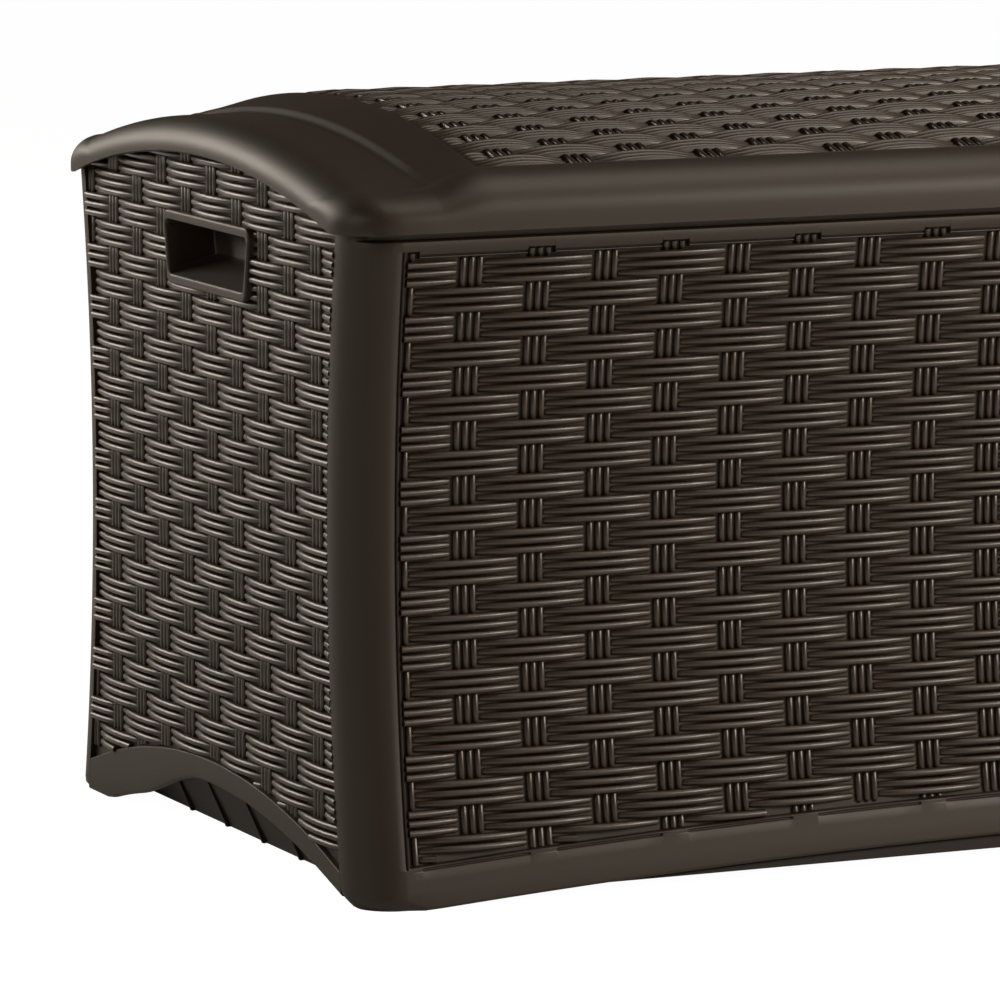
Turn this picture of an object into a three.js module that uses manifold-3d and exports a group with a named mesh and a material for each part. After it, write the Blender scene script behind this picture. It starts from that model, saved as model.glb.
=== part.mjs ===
// Resin deck storage box with a woven-wicker look: four wall panels standing on corner feet,
// a floor tray, a finger-grip cup in each end panel, and a domed lid that opens on three
// rear hinges.  Millimetres, +Z up, front towards -Y, origin on the ground under the middle.
import * as THREE from 'three';
import { mergeVertices } from 'three/addons/utils/BufferGeometryUtils.js';
import Module from 'manifold-3d';

const wasm = await Module();
wasm.setup();

// ---- driving dimensions ----
const GAP = 0.3;                    // clearance left between pieces that touch
const FAR = 700;                    // beyond every face, for cutting blocks
const BEYOND_DEPTH = 300;           // just beyond the front and back faces

// walls
const WALL_HALF_LENGTH = 576;
const WAIST_HALF_DEPTH = 262.4;     // the side walls are hollow-curved, narrowest here
const WAIST_HEIGHT = 250;
const SIDE_RADIUS = 1326;           // radius of that hollow curve
const WALL = 5;
const CORNER_RADIUS = 36;
const POST_WIDTH = 37.7;            // plain corner post seen from the end
const RIM_CROWN = 509.5;            // top edge of the walls, arched from front to back
const RIM_RADIUS = 1010;
const FRONT_ARCH = { halfWidth: 525, rise: 18 };
const END_ARCH = { halfWidth: 263.5, rise: 45.5 };
const REAR_HEEL = { from: 15, to: 145, drop: 18.5 };   // the end skirts reach lower at the rear

// woven fields, sunk into the panels
const WEAVE_SINK = 2.5;
const FRONT_FIELD = { halfLength: 537.7, top: 456, bottom: 30, bottomRise: 18.5 };
const END_FIELD_BOTTOM = { crown: 63, radius: 785 };

// floor tray
const TRAY_WALL = 4;
const TRAY_TOP = 46;
const TRAY_HALF_LENGTH = 570.7;
const TRAY_DRAFT = 18;              // how far each sloping end leans in
const TRAY_BOTTOM = 7.5;
const TRAY_STEP = { halfLength: 422, height: 1.5 };
const TRAY_RIB = { pitch: 70, pairs: 2, middle: -17, thickness: 3, proud: 3 };
const FOOT_PAD = { length: 56, inner: 251, height: 8.6 };

// finger-grip cups
const CUP = {
  centreY: -7, centreZ: 430, depth: 37.5, wall: 3, proud: 3,
  rimWidth: 165, rimHeight: 53, taper: 12, mouthWidth: 156, mouthHeight: 39, floorRise: 10.5,
};

// lid
const LID_HALF_LENGTH = 584;
const LID_HALF_DEPTH = 286;
const LID_WALL = 3;
const LID_CORNER_RADIUS = 42;
const LID_CROWN = 540;
const LID_RADIUS = 1000;            // dome from front to back
const LID_RAIL_BOTTOM = 466;
const LID_RAIL_ROLL = 38;           // width of the rounded rail
const LID_END_EDGE = { crown: 502.4, radius: 940 };
const CAP_DROP = 13.5;              // the end caps sit this much below the dome
const RIDGE_DROP = 8.3;
const FIELD_END = 477;              // the dome's woven field stops here
const RIDGE_AT = 505;
const CAP_FLAT_FROM = 513;
const CAP_ROLL = { width: 30, height: 22.5 };
const LINER = 3;
const LINER_RIB = { pitch: 150, pairs: 3, thickness: 3, height: 12, halfLength: 236 };

// hinges
const HINGE_X = [-380, 0, 380];
const HINGE_AXIS = { y: 281.5, z: 461 };
const KNUCKLE_RADIUS = 4.2;
const PIN_RADIUS = 2.5;
const HINGE_HALF_WIDTH = 30;
const PIN_HALF_LENGTH = 31;
const MIDDLE_KNUCKLE = 13;
const BRACKET = { low: 428, high: 459, thickness: 2.5 };
const LEAF = { halfWidth: 24, low: 465.6, high: 477.5, inner: 281, outer: 282.7 };
const SCREW = { x: 20, z: 441, shank: 2, head: 4, headHeight: 2.2, length: 9 };
const RIVET = { x: 15, z: 472, shank: 1.6, head: 3.2, sink: 1.6 };

// ---- finishes ----
const resin = () => new THREE.MeshStandardMaterial({ color: 0x3d342d, roughness: 0.5, metalness: 0 });
const darkResin = () => new THREE.MeshStandardMaterial({ color: 0x2a2420, roughness: 0.65, metalness: 0 });
const zincSteel = () => new THREE.MeshStandardMaterial({ color: 0x8d9093, roughness: 0.35, metalness: 0.9 });

// ---- solids ----
const box = new THREE.Group();

function solidOf(geometry) {
  const bare = geometry.index ? geometry.clone() : geometry;
  bare.deleteAttribute('normal');
  bare.deleteAttribute('uv');
  const merged = mergeVertices(bare);
  return new wasm.Manifold(new wasm.Mesh({
    numProp: 3,
    vertProperties: new Float32Array(merged.attributes.position.array),
    triVerts: new Uint32Array(merged.index.array),
  }));
}

function addPiece(name, solid, material) {
  const { vertProperties, triVerts } = solid.getMesh();
  const geometry = new THREE.BufferGeometry();
  geometry.setAttribute('position', new THREE.BufferAttribute(new Float32Array(vertProperties), 3));
  geometry.setIndex(new THREE.BufferAttribute(new Uint32Array(triVerts), 1));
  const mesh = new THREE.Mesh(geometry, material);
  mesh.name = name;
  box.add(mesh);
  return mesh;
}

const AXES = {
  x: new THREE.Matrix4().makeBasis(
    new THREE.Vector3(0, 1, 0), new THREE.Vector3(0, 0, 1), new THREE.Vector3(1, 0, 0)),
  y: new THREE.Matrix4().makeBasis(
    new THREE.Vector3(1, 0, 0), new THREE.Vector3(0, 0, 1), new THREE.Vector3(0, -1, 0)),
};

// A YZ outline carried along X from x0 to x1.
function alongX(shape, x0, x1, curveSegments = 12) {
  const geometry = new THREE.ExtrudeGeometry(shape, { depth: x1 - x0, bevelEnabled: false, curveSegments });
  return solidOf(geometry.applyMatrix4(AXES.x).translate(x0, 0, 0));
}

// An XZ outline carried along Y from y0 to y1.
function alongY(shape, y0, y1, curveSegments = 12) {
  const geometry = new THREE.ExtrudeGeometry(shape, { depth: y1 - y0, bevelEnabled: false, curveSegments });
  return solidOf(geometry.applyMatrix4(AXES.y).translate(0, y1, 0));
}

function block(x0, x1, y0, y1, z0, z1) {
  const geometry = new THREE.BoxGeometry(x1 - x0, y1 - y0, z1 - z0);
  return solidOf(geometry.translate((x0 + x1) / 2, (y0 + y1) / 2, (z0 + z1) / 2));
}

function rodAlongX(radius, x0, x1, y, z) {
  const geometry = new THREE.CylinderGeometry(radius, radius, x1 - x0, 20);
  return solidOf(geometry.rotateZ(Math.PI / 2).translate((x0 + x1) / 2, y, z));
}

function mirroredX(solid) {
  return solid.mirror([1, 0, 0]);
}

function mirroredY(solid) {
  return solid.mirror([0, 1, 0]);
}

// ---- walls ----
const halfDepthAt = (z) => WAIST_HALF_DEPTH + (z - WAIST_HEIGHT) ** 2 / (2 * SIDE_RADIUS);

// The whole walled volume, its faces moved in by inset: a rounded rectangle whose long
// sides follow the hollow curve.
function walledBlock(inset, over = 5) {
  const low = -over;
  const high = LID_CROWN + over;
  const halfLength = WALL_HALF_LENGTH - inset;
  const halfDepth = WAIST_HALF_DEPTH - inset;
  const radius = CORNER_RADIUS - inset;
  const plan = new THREE.Shape();
  plan.absarc(halfLength - radius, halfDepth - radius, radius, 0, Math.PI / 2);
  plan.absarc(radius - halfLength, halfDepth - radius, radius, Math.PI / 2, Math.PI);
  plan.absarc(radius - halfLength, radius - halfDepth, radius, Math.PI, 1.5 * Math.PI);
  plan.absarc(halfLength - radius, radius - halfDepth, radius, 1.5 * Math.PI, 2 * Math.PI);
  const geometry = new THREE.ExtrudeGeometry(plan, {
    depth: high - low, steps: 14, bevelEnabled: false, curveSegments: 4,
  });
  geometry.translate(0, 0, low);
  const corner = geometry.attributes.position;
  for (let i = 0; i < corner.count; i += 1) {
    const bow = halfDepthAt(corner.getZ(i)) - WAIST_HALF_DEPTH;
    corner.setY(i, corner.getY(i) + Math.sign(corner.getY(i)) * bow);
  }
  return solidOf(geometry);
}

// Everything below an arch: half-width and rise of its opening, standing on z = 0.
function archOpening({ halfWidth, rise }) {
  const radius = (halfWidth ** 2 + rise ** 2) / (2 * rise);
  const spread = Math.asin(halfWidth / radius);
  const shape = new THREE.Shape();
  shape.moveTo(-halfWidth, -10);
  shape.lineTo(halfWidth, -10);
  shape.absarc(0, rise - radius, radius, Math.PI / 2 - spread, Math.PI / 2 + spread);
  return shape;
}

// Everything below an end skirt: the arch, lowered towards the rear by the heel.
function endSkirtOpening() {
  const { halfWidth, rise } = END_ARCH;
  const radius = (halfWidth ** 2 + rise ** 2) / (2 * rise);
  const shape = new THREE.Shape();
  shape.moveTo(-halfWidth, -10);
  const steps = 24;
  for (let i = 0; i <= steps; i += 1) {
    const y = halfWidth * (2 * i / steps - 1);
    const share = THREE.MathUtils.smoothstep(y, REAR_HEEL.from, REAR_HEEL.to);
    const z = rise - radius + Math.sqrt(radius ** 2 - y ** 2) - REAR_HEEL.drop * share;
    shape.lineTo(y, Math.max(z, -5));
  }
  shape.lineTo(halfWidth, -10);
  return shape;
}

// The region under a dome of the given crown height and radius, out to a half-width.
function underDome(crown, radius, halfWidth, low) {
  const spread = Math.asin(halfWidth / radius);
  const shape = new THREE.Shape();
  shape.moveTo(-halfWidth, low);
  shape.lineTo(halfWidth, low);
  shape.absarc(0, crown - radius, radius, Math.PI / 2 - spread, Math.PI / 2 + spread);
  return shape;
}

// The end panel's outline: between the two posts, whose edges follow the hollow curve.
function betweenPosts(margin, low, high) {
  const edge = (z) => halfDepthAt(z) - margin;
  const bend = WAIST_HALF_DEPTH - margin + (low - WAIST_HEIGHT) * (high - WAIST_HEIGHT) / (2 * SIDE_RADIUS);
  const middle = (low + high) / 2;
  const shape = new THREE.Shape();
  shape.moveTo(-edge(low), low);
  shape.lineTo(edge(low), low);
  shape.quadraticCurveTo(bend, middle, edge(high), high);
  shape.lineTo(-edge(high), high);
  shape.quadraticCurveTo(-bend, middle, -edge(low), low);
  return shape;
}

const shell = walledBlock(0).subtract(walledBlock(WALL, 6));
const rimAndFloor = alongX(underDome(RIM_CROWN, RIM_RADIUS, BEYOND_DEPTH, 0), -FAR, FAR, 16);
const walls = shell.intersect(rimAndFloor)
  .subtract(alongY(archOpening(FRONT_ARCH), -FAR, FAR, 12))
  .subtract(alongX(endSkirtOpening(), -FAR, FAR));
const skin = walledBlock(-WEAVE_SINK).subtract(walledBlock(WEAVE_SINK, 6));

const endSlot = alongX(betweenPosts(POST_WIDTH, -8, 540), -FAR, FAR, 14);
const endInsert = alongX(betweenPosts(POST_WIDTH + GAP, -8, 540), -FAR, FAR, 14);

function frontFieldOutline() {
  const { halfLength, top, bottom, bottomRise } = FRONT_FIELD;
  const shape = new THREE.Shape();
  shape.moveTo(-halfLength, bottom);
  shape.quadraticCurveTo(0, bottom + 2 * bottomRise, halfLength, bottom);
  shape.lineTo(halfLength, top);
  shape.lineTo(-halfLength, top);
  return shape;
}

function footPad(side) {
  const outerX = WALL_HALF_LENGTH - WALL / 2;
  const pad = block(outerX - FOOT_PAD.length, outerX, -BEYOND_DEPTH, -FOOT_PAD.inner, 0, FOOT_PAD.height);
  const inside = pad.intersect(walledBlock(WALL / 2));
  return side > 0 ? inside : mirroredX(inside);
}

function longPanel() {
  return walls.subtract(endSlot)
    .intersect(block(-FAR, FAR, -FAR, 0, -10, FAR))
    .subtract(skin.intersect(alongY(frontFieldOutline(), -FAR, 0)))
    .add(footPad(1))
    .add(footPad(-1));
}

// ---- hinge cutters, used by the back panel, the lid and the liner ----
const SCREW_TILT = Math.atan((SCREW.z - WAIST_HEIGHT) / SIDE_RADIUS);

// A turned profile of [radius, distance along +Y] points, placed on the back wall's slope.
function turnedAlongY(profile, x, y, z, tilt = 0) {
  const points = profile.map(([radius, along]) => new THREE.Vector2(radius, along));
  const geometry = new THREE.LatheGeometry(points, 12);
  return solidOf(geometry.rotateX(-tilt).translate(x, y, z));
}

function pinHole(x) {
  const reach = HINGE_HALF_WIDTH + 5;
  return rodAlongX(PIN_RADIUS + 0.4, x - reach, x + reach, HINGE_AXIS.y, HINGE_AXIS.z);
}

function rivetProfile(room) {
  const { shank, head, sink } = RIVET;
  const length = LID_HALF_DEPTH - LEAF.inner;
  return [
    [0, -length - 3 * room], [shank + room, -length - 3 * room], [shank + room, -sink],
    [head + room, 0], [head + room, 3 * room], [0, 3 * room],
  ].filter(([radius, along], i) => room > 0 || i !== 4);
}

const screwSeat = halfDepthAt(SCREW.z) + GAP + BRACKET.thickness;
const screwPlaces = HINGE_X.flatMap((x) => [x - SCREW.x, x + SCREW.x]);
const rivetPlaces = HINGE_X.flatMap((x) => [x - RIVET.x, x + RIVET.x]);

function screwHole(x) {
  const radius = SCREW.shank + GAP;
  return turnedAlongY([[0, -14], [radius, -14], [radius, 6], [0, 6]], x, screwSeat, SCREW.z, SCREW_TILT);
}

// ---- long panels ----
addPiece('front_panel', longPanel(), resin());

let backPanel = mirroredY(longPanel());
for (const x of HINGE_X) {
  const reach = PIN_HALF_LENGTH + 2 * GAP;
  const notch = rodAlongX(KNUCKLE_RADIUS + 0.5, x - reach, x + reach, HINGE_AXIS.y, HINGE_AXIS.z);
  backPanel = backPanel.subtract(notch);
}
for (const x of screwPlaces) backPanel = backPanel.subtract(screwHole(x));
addPiece('back_panel', backPanel, resin());

// ---- finger-grip cups ----
// A four-sided outline, narrower at the bottom, with rounded corners, about the cup's centre.
function cupOutline(width, height, radius, grow = 0) {
  const top = width / 2 + grow;
  const bottom = (width - CUP.taper) / 2 + grow;
  const high = height / 2 + grow;
  const shape = new THREE.Shape();
  shape.moveTo(-bottom + radius, -high);
  shape.lineTo(bottom - radius, -high);
  shape.quadraticCurveTo(bottom, -high, bottom + radius * 0.1, -high + radius);
  shape.lineTo(top - radius * 0.1, high - radius);
  shape.quadraticCurveTo(top, high, top - radius, high);
  shape.lineTo(-top + radius, high);
  shape.quadraticCurveTo(-top, high, -top + radius * 0.1, high - radius);
  shape.lineTo(-bottom - radius * 0.1, -high + radius);
  shape.quadraticCurveTo(-bottom, -high, -bottom + radius, -high);
  return shape;
}

function cupPrism(outline, x0, x1) {
  return alongX(outline, x0, x1, 4).translate([0, CUP.centreY, CUP.centreZ]);
}

// The left cup: a raised rim, and a pocket whose floor rises inwards.
function leftCup() {
  const face = -WALL_HALF_LENGTH;
  const back = face - CUP.proud + CUP.depth;
  const rimOutline = cupOutline(CUP.rimWidth, CUP.rimHeight, 10);
  const rim = cupPrism(rimOutline, face - CUP.proud, face + WEAVE_SINK - GAP);
  const mouth = cupOutline(CUP.mouthWidth, CUP.mouthHeight, 6);
  const tub = cupPrism(cupOutline(CUP.mouthWidth, CUP.mouthHeight, 6, CUP.wall), face, back + CUP.wall);
  const pocket = new THREE.Shape();
  pocket.moveTo(face - CUP.depth, CUP.centreZ - CUP.mouthHeight / 2 - 1);
  pocket.lineTo(face - CUP.proud, CUP.centreZ - CUP.mouthHeight / 2 - 1);
  pocket.lineTo(back, CUP.centreZ - CUP.mouthHeight / 2 + CUP.floorRise);
  pocket.lineTo(back, CUP.centreZ + CUP.mouthHeight / 2 + 1);
  pocket.lineTo(face - CUP.depth, CUP.centreZ + CUP.mouthHeight / 2 + 1);
  const cavity = cupPrism(mouth, face - CUP.depth, back + 1).intersect(alongY(pocket, -FAR, FAR));
  return rim.add(tub).subtract(cavity);
}

// ---- end panels ----
function leftEndPanel() {
  const window = cupPrism(cupOutline(CUP.mouthWidth, CUP.mouthHeight, 6, CUP.wall + GAP), -FAR, -500);
  const { crown, radius } = END_FIELD_BOTTOM;
  const endField = block(-FAR, 0, -BEYOND_DEPTH, BEYOND_DEPTH, 0, FAR)
    .subtract(alongX(underDome(crown, radius, BEYOND_DEPTH, -20), -FAR - 1, 1, 12));
  return walls.intersect(endInsert)
    .intersect(block(-FAR, 0, -FAR, FAR, -10, FAR))
    .subtract(skin.intersect(endField))
    .subtract(window);
}

addPiece('left_end_panel', leftEndPanel(), resin());
addPiece('right_end_panel', mirroredX(leftEndPanel()), resin());
addPiece('left_handle_cup', leftCup(), resin());
addPiece('right_handle_cup', mirroredX(leftCup()), resin());

// ---- floor tray ----
function trayOutline(inset) {
  const top = TRAY_TOP + (inset > 0 ? 10 : 0);
  const lean = TRAY_DRAFT / (TRAY_TOP - TRAY_BOTTOM - TRAY_STEP.height);
  const outboard = TRAY_BOTTOM + TRAY_STEP.height + inset;
  const foot = TRAY_HALF_LENGTH - TRAY_DRAFT - inset;
  const mouth = foot + lean * (top - outboard);
  const step = TRAY_STEP.halfLength - inset;
  const shape = new THREE.Shape();
  shape.moveTo(-mouth, top);
  shape.lineTo(-foot, outboard);
  shape.lineTo(-step, outboard);
  shape.lineTo(-step, TRAY_BOTTOM + inset);
  shape.lineTo(step, TRAY_BOTTOM + inset);
  shape.lineTo(step, outboard);
  shape.lineTo(foot, outboard);
  shape.lineTo(mouth, top);
  return shape;
}

function trayRib(y) {
  const foot = TRAY_HALF_LENGTH - TRAY_DRAFT;
  const low = TRAY_BOTTOM + TRAY_STEP.height;
  const gusset = new THREE.Shape();
  gusset.moveTo(foot - TRAY_RIB.proud / 2, low);
  gusset.lineTo(foot + TRAY_RIB.proud, low);
  gusset.lineTo(TRAY_HALF_LENGTH, TRAY_TOP - TRAY_RIB.proud);
  gusset.lineTo(TRAY_HALF_LENGTH, TRAY_TOP);
  gusset.lineTo(TRAY_HALF_LENGTH - TRAY_RIB.proud / 2, TRAY_TOP);
  return alongY(gusset, y - TRAY_RIB.thickness / 2, y + TRAY_RIB.thickness / 2);
}

let tray = alongY(trayOutline(0), -FAR, FAR)
  .intersect(walledBlock(WALL + GAP))
  .subtract(alongY(trayOutline(TRAY_WALL), -FAR, FAR).intersect(walledBlock(WALL + GAP + TRAY_WALL)));
for (let i = 0; i < TRAY_RIB.pairs; i += 1) {
  const { pitch, middle } = TRAY_RIB;
  const reach = pitch * (i + 0.5);
  const ribs = [trayRib(middle + reach), trayRib(middle - reach)];
  for (const rib of ribs) tray = tray.add(rib).add(mirroredX(rib));
}
addPiece('floor_tray', tray, darkResin());

// ---- lid ----
// Height of the dome's crown line along the lid's length, for a surface moved in by inset.
function crownAt(x, inset) {
  const out = Math.abs(x);
  const rollWidth = CAP_ROLL.width - inset;
  const rollFrom = LID_HALF_LENGTH - CAP_ROLL.width;
  const ramp = (from, to, low, high) => {
    const t = Math.min(Math.max((out - from) / (to - from), 0), 1);
    return low + (high - low) * t;
  };
  const slope = ramp(FIELD_END, RIDGE_AT, 0, RIDGE_DROP);
  const step = slope + ramp(RIDGE_AT, CAP_FLAT_FROM, 0, CAP_DROP - RIDGE_DROP);
  const along = Math.min(Math.max((out - rollFrom) / rollWidth, 0), 1);
  return LID_CROWN - inset - step - CAP_ROLL.height * (1 - Math.sqrt(1 - along ** 2));
}

function lidHalfDepthAt(x, inset) {
  const radius = LID_CORNER_RADIUS - inset;
  const past = Math.max(Math.abs(x) - (LID_HALF_LENGTH - LID_CORNER_RADIUS), 0);
  return LID_HALF_DEPTH - LID_CORNER_RADIUS + Math.sqrt(Math.max(radius ** 2 - past ** 2, 0));
}

// Front-to-back section: rail side, rounded rail, dome, and the same again.
function lidSection(x, inset, low) {
  const depth = lidHalfDepthAt(x, inset);
  const dome = (y) => crownAt(x, inset) - y ** 2 / (2 * LID_RADIUS);
  const domeEdge = depth - LID_RAIL_ROLL;
  const rollFrom = LID_RAIL_BOTTOM + 0.3 * (dome(domeEdge) - LID_RAIL_BOTTOM);
  const half = [[depth, low]];
  for (let i = 0; i < 7; i += 1) {
    const turn = (i / 6) * (Math.PI / 2);
    const rise = (dome(domeEdge) - rollFrom) * Math.sin(turn);
    half.push([domeEdge + LID_RAIL_ROLL * Math.cos(turn), rollFrom + rise]);
  }
  for (let i = 1; i <= 5; i += 1) {
    const y = domeEdge * (1 - i / 5);
    half.push([y, dome(y)]);
  }
  const other = half.slice(0, -1).reverse().map(([y, z]) => [-y, z]);
  return [...half, ...other];
}

// A solid through the sections at the given stations along X.
function loftAlongX(stations, sectionAt) {
  const sections = stations.map(sectionAt);
  const count = sections[0].length;
  const positions = stations.flatMap((x, k) => sections[k].flatMap(([y, z]) => [x, y, z]));
  const faces = [];
  for (let k = 0; k < stations.length - 1; k += 1) {
    for (let i = 0; i < count; i += 1) {
      const a = k * count + i;
      const b = k * count + ((i + 1) % count);
      faces.push(a, b, b + count, a, b + count, a + count);
    }
  }
  const ring = sections[0].map(([y, z]) => new THREE.Vector2(y, z));
  const last = (stations.length - 1) * count;
  for (const [a, b, c] of THREE.ShapeUtils.triangulateShape(ring, [])) faces.push(a, c, b);
  const endRing = sections[stations.length - 1].map(([y, z]) => new THREE.Vector2(y, z));
  for (const [a, b, c] of THREE.ShapeUtils.triangulateShape(endRing, [])) {
    faces.push(last + a, last + b, last + c);
  }
  const geometry = new THREE.BufferGeometry();
  geometry.setAttribute('position', new THREE.Float32BufferAttribute(positions, 3));
  geometry.setIndex(faces);
  return solidOf(geometry);
}

function lidBlock(inset, low) {
  const end = LID_HALF_LENGTH - inset;
  const rollFrom = LID_HALF_LENGTH - CAP_ROLL.width;
  const half = [FIELD_END, RIDGE_AT, CAP_FLAT_FROM, LID_HALF_LENGTH - LID_CORNER_RADIUS];
  for (let i = 0; i <= 6; i += 1) half.push(rollFrom + (end - rollFrom) * Math.sin((i / 6) * (Math.PI / 2)));
  const stations = [...half.map((x) => -x).reverse(), ...half];
  return loftAlongX(stations, (x) => lidSection(x, inset, low));
}

const endEdge = underDome(LID_END_EDGE.crown, LID_END_EDGE.radius, BEYOND_DEPTH, 400);
const endEdgeCut = alongX(endEdge, -FAR, FAR, 16);
let lidShell = lidBlock(0, LID_RAIL_BOTTOM)
  .subtract(lidBlock(LID_WALL, LID_RAIL_BOTTOM - 20))
  .subtract(endEdgeCut);
for (const x of rivetPlaces) {
  lidShell = lidShell.subtract(turnedAlongY(rivetProfile(GAP), x, LID_HALF_DEPTH, RIVET.z));
}
addPiece('lid_shell', lidShell, resin());

const linerLow = RIM_CROWN + 2 * GAP;
function domedSheet(low, high) {
  return alongX(underDome(high, RIM_RADIUS, BEYOND_DEPTH, 0), -FAR, FAR, 16)
    .subtract(alongX(underDome(low, RIM_RADIUS, BEYOND_DEPTH, -10), -FAR - 1, FAR + 1, 16));
}

let liner = domedSheet(linerLow, linerLow + LINER);
const ribBand = domedSheet(linerLow + LINER / 2, linerLow + LINER + LINER_RIB.height);
for (let i = -LINER_RIB.pairs; i <= LINER_RIB.pairs; i += 1) {
  const { pitch, thickness, halfLength } = LINER_RIB;
  const slice = block(i * pitch - thickness / 2, i * pitch + thickness / 2, -halfLength, halfLength, 0, FAR);
  liner = liner.add(ribBand.intersect(slice));
}
liner = liner.intersect(lidBlock(LID_WALL + GAP, LID_RAIL_BOTTOM - 20));
for (const x of HINGE_X) {
  const reach = LEAF.halfWidth + GAP;
  liner = liner.subtract(block(x - reach, x + reach, LEAF.inner - GAP, FAR, 400, LEAF.high + GAP));
}
addPiece('lid_liner', liner, darkResin());

// ---- hinges ----
function hingeBracket(x) {
  const plate = block(x - HINGE_HALF_WIDTH, x + HINGE_HALF_WIDTH, 200, FAR, BRACKET.low, BRACKET.high)
    .intersect(walledBlock(-BRACKET.thickness - GAP))
    .subtract(walledBlock(-GAP));
  const { y, z } = HINGE_AXIS;
  const relief = rodAlongX(
    KNUCKLE_RADIUS + 0.5, x - MIDDLE_KNUCKLE - 0.4, x + MIDDLE_KNUCKLE + 0.4, y, z);
  let bracket = plate
    .add(rodAlongX(KNUCKLE_RADIUS, x - HINGE_HALF_WIDTH, x + HINGE_HALF_WIDTH, y, z))
    .subtract(relief)
    .subtract(pinHole(x));
  for (const side of [-1, 1]) bracket = bracket.subtract(screwHole(x + side * SCREW.x));
  return bracket;
}

function hingeLeaf(x) {
  const { y, z } = HINGE_AXIS;
  let leaf = rodAlongX(KNUCKLE_RADIUS, x - MIDDLE_KNUCKLE, x + MIDDLE_KNUCKLE, y, z)
    .add(block(x - MIDDLE_KNUCKLE, x + MIDDLE_KNUCKLE, LEAF.inner, LEAF.outer, z, LEAF.high))
    .add(block(x - LEAF.halfWidth, x + LEAF.halfWidth, LEAF.inner, LEAF.outer, LEAF.low, LEAF.high))
    .subtract(pinHole(x));
  for (const side of [-1, 1]) {
    const hole = turnedAlongY(rivetProfile(GAP), x + side * RIVET.x, LID_HALF_DEPTH, RIVET.z);
    leaf = leaf.subtract(hole);
  }
  return leaf;
}

const HINGE_SIDE = ['left', 'middle', 'right'];
HINGE_X.forEach((x, i) => {
  const { y, z } = HINGE_AXIS;
  addPiece(`${HINGE_SIDE[i]}_hinge_bracket`, hingeBracket(x), zincSteel());
  addPiece(`${HINGE_SIDE[i]}_hinge_leaf`, hingeLeaf(x), zincSteel());
  const pin = rodAlongX(PIN_RADIUS, x - PIN_HALF_LENGTH, x + PIN_HALF_LENGTH, y, z);
  addPiece(`${HINGE_SIDE[i]}_hinge_pin`, pin, zincSteel());
});

const screwProfile = [
  [0, -SCREW.length], [SCREW.shank, -SCREW.length], [SCREW.shank, GAP], [SCREW.head, GAP],
  [SCREW.head * 0.9, GAP + SCREW.headHeight * 0.6], [SCREW.head * 0.5, GAP + SCREW.headHeight],
  [0, GAP + SCREW.headHeight],
];
screwPlaces.forEach((x, i) => {
  const screw = turnedAlongY(screwProfile, x, screwSeat, SCREW.z, SCREW_TILT);
  addPiece(`bracket_screw_${i + 1}`, screw, zincSteel());
});
rivetPlaces.forEach((x, i) => {
  addPiece(`leaf_rivet_${i + 1}`, turnedAlongY(rivetProfile(0), x, LID_HALF_DEPTH, RIVET.z), zincSteel());
});

export default box;
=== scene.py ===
"""A resin deck storage box with moulded wicker panels, rounded posts and a domed lid.

Lengths are in metres.  The front faces -Y and the lid's hinges are along the back.
"""
import math

import bpy
import numpy as np
from mathutils import Matrix, Vector


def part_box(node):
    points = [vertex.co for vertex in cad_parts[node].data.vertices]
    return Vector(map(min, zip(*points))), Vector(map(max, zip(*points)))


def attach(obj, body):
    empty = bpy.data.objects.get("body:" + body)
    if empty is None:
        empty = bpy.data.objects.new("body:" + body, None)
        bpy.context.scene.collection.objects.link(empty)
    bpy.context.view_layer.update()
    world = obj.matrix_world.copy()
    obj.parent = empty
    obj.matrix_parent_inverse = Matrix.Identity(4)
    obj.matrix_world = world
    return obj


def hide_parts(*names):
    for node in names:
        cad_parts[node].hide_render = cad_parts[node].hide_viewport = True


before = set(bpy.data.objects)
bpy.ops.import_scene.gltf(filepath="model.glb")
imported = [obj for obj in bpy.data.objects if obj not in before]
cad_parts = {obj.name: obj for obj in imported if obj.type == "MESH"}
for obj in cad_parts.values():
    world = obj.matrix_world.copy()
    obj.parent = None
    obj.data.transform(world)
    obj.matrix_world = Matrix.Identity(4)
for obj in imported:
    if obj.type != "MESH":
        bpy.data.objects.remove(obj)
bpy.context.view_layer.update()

# ---- Camera -------------------------------------------------------------------------
# A long lens stands well back from the box, a little above the lid and in front of the
# left end, and frames that end with the left half of the front and of the lid.
camera_place = Vector((-2.3895, -4.5957, 0.9529))
camera_turn = (
    Matrix.Rotation(math.radians(-23.98), 4, "Z")
    @ Matrix.Rotation(math.radians(90 - 8.08), 4, "X")
    @ Matrix.Rotation(math.radians(-0.105), 4, "Z")
)
camera_data = bpy.data.cameras.new("camera")
camera_data.sensor_width = 36
camera_data.lens = 249.5
camera_data.clip_end = 50
camera = bpy.data.objects.new("camera", camera_data)
camera.matrix_world = Matrix.Translation(camera_place) @ camera_turn
bpy.context.scene.collection.objects.link(camera)
bpy.context.scene.camera = camera


# ---- Studio -------------------------------------------------------------------------
# Soft warm lamps: behind the left end, at the left, at the front right, and overhead.
# The sky fills the shadows a little and shows white behind the box.
lamp_colour = (1.0, 0.905, 0.79)
sky_fill = 0.014


def studio_lamp(name, place, aim, width, height, power):
    """A rectangular lamp at place, turned so that it shines towards aim."""
    data = bpy.data.lights.new(name, "AREA")
    data.shape = "RECTANGLE"
    data.size = width
    data.size_y = height
    data.energy = power
    data.color = lamp_colour
    lamp = bpy.data.objects.new(name, data)
    way = Vector(aim) - Vector(place)
    lamp.matrix_world = Matrix.Translation(place) @ way.to_track_quat("-Z", "Y").to_matrix().to_4x4()
    bpy.context.scene.collection.objects.link(lamp)


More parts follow.
